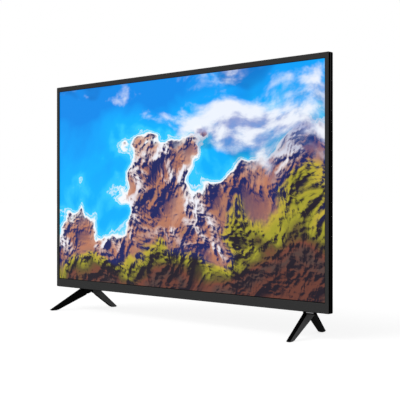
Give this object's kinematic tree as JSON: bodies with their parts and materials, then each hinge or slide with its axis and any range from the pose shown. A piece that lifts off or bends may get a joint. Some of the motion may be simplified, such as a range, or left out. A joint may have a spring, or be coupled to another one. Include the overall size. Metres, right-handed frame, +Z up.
{
  "type": "flat screen television",
  "caption": "Wide flat television with a slim frame, two splayed V-shaped feet, a stepped rear cover, rear keys, side-facing sockets and wall mount sockets.",
  "frame": {"origin": "on the floor, under the middle of the whole object's width and depth", "axes": "+Z up, +X along the screen to the viewer's right, the picture faces -Y"},
  "size_m": [0.9624, 0.1956, 0.6231],
  "materials": {
    "bezel_plastic": "satin dark grey moulded frame",
    "panel_glass": "dark anti-glare panel face",
    "foam": "black foam",
    "circuit_board": "green solder mask",
    "frame_plastic": "black moulded frame",
    "optical_film": "clear and milky sheets",
    "white_reflector": "bright white film",
    "lens_plastic": "clear moulded lenses",
    "tray_steel": "galvanised sheet steel",
    "chip_plastic": "black epoxy",
    "heatsink_aluminium": "plain aluminium",
    "socket_metal": "nickel plated",
    "socket_plastic": "black moulded sockets",
    "panel_plate": "black plate",
    "wire": "insulated wires and flat cable",
    "transformer": "taped coils and dark cores",
    "capacitor": "sleeved cans",
    "speaker_plastic": "black boxes and cones",
    "cover_plastic": "finely textured black cover",
    "key_plastic": "black keys",
    "screw_steel": "black zinc screws",
    "mount_steel": "zinc plated sockets",
    "foot_plastic": "satin black feet",
    "pad_rubber": "grey rubber pads",
    "receiver_window": "near black clear plastic",
    "badge": "plain satin strip",
    "light_lens": "dark clear pin lens"
  },
  "bodies": {
    "set": {"front_bezel": "bezel_plastic", "lcd_panel": "panel_glass", "panel_cushion_tape": "foam", "speaker_cushions": "foam", "driver_boards": "circuit_board", "receiver_board": "circuit_board", "main_board": "circuit_board", "timing_board": "circuit_board", "power_board": "circuit_board", "key_board": "circuit_board", "wireless_module": "circuit_board", "middle_frame": "frame_plastic", "prism_sheet": "optical_film", "diffusing_sheet": "optical_film", "diffuser_plate": "optical_film", "reflector_sheet": "white_reflector", "led_bars": "white_reflector", "led_lenses": "lens_plastic", "backlight_tray": "tray_steel", "foot_brackets": "tray_steel", "main_board_chips": "chip_plastic", "processor_heatsink": "heatsink_aluminium", "power_heatsinks": "heatsink_aluminium", "hdmi_sockets": "socket_metal", "usb_sockets": "socket_metal", "tuner_can": "socket_metal", "aerial_socket": "socket_metal", "mains_pins": "socket_metal", "lan_socket": "socket_plastic", "optical_socket": "socket_plastic", "sound_jacks": "socket_plastic", "mains_inlet": "socket_plastic", "key_switches": "socket_plastic", "io_panel": "panel_plate", "timing_ribbon": "wire", "power_harness": "wire", "speaker_cables": "wire", "power_transformers": "transformer", "power_capacitors": "capacitor", "right_speaker_box": "speaker_plastic", "left_speaker_box": "speaker_plastic", "right_speaker_driver": "speaker_plastic", "left_speaker_driver": "speaker_plastic", "rear_cover": "cover_plastic", "cover_screws": "screw_steel", "foot_screws": "screw_steel", "wall_mount_nuts": "mount_steel", "right_foot": "foot_plastic", "left_foot": "foot_plastic", "foot_pads": "pad_rubber", "receiver_tab": "receiver_window", "badge_strip": "badge", "status_light": "light_lens"},
    "power_key": {"power_key": "key_plastic"},
    "source_key": {"source_key": "key_plastic"},
    "menu_key": {"menu_key": "key_plastic"},
    "channel_down_key": {"channel_down_key": "key_plastic"},
    "channel_up_key": {"channel_up_key": "key_plastic"},
    "volume_down_key": {"volume_down_key": "key_plastic"},
    "volume_up_key": {"volume_up_key": "key_plastic"}
  },
  "joints": [
    {"name": "power_key_press", "type": "slide", "parent": "set", "child": "power_key", "axis": [0, -1, 0], "range_m": [0, 0.0006], "stiffness_N_per_m": 2000, "springref_m": -0.0004},
    {"name": "source_key_press", "type": "slide", "parent": "set", "child": "source_key", "axis": [0, -1, 0], "range_m": [0, 0.0006], "stiffness_N_per_m": 2000, "springref_m": -0.0004},
    {"name": "menu_key_press", "type": "slide", "parent": "set", "child": "menu_key", "axis": [0, -1, 0], "range_m": [0, 0.0006], "stiffness_N_per_m": 2000, "springref_m": -0.0004},
    {"name": "channel_down_key_press", "type": "slide", "parent": "set", "child": "channel_down_key", "axis": [0, -1, 0], "range_m": [0, 0.0006], "stiffness_N_per_m": 2000, "springref_m": -0.0004},
    {"name": "channel_up_key_press", "type": "slide", "parent": "set", "child": "channel_up_key", "axis": [0, -1, 0], "range_m": [0, 0.0006], "stiffness_N_per_m": 2000, "springref_m": -0.0004},
    {"name": "volume_down_key_press", "type": "slide", "parent": "set", "child": "volume_down_key", "axis": [0, -1, 0], "range_m": [0, 0.0006], "stiffness_N_per_m": 2000, "springref_m": -0.0004},
    {"name": "volume_up_key_press", "type": "slide", "parent": "set", "child": "volume_up_key", "axis": [0, -1, 0], "range_m": [0, 0.0006], "stiffness_N_per_m": 2000, "springref_m": -0.0004}
  ]
}
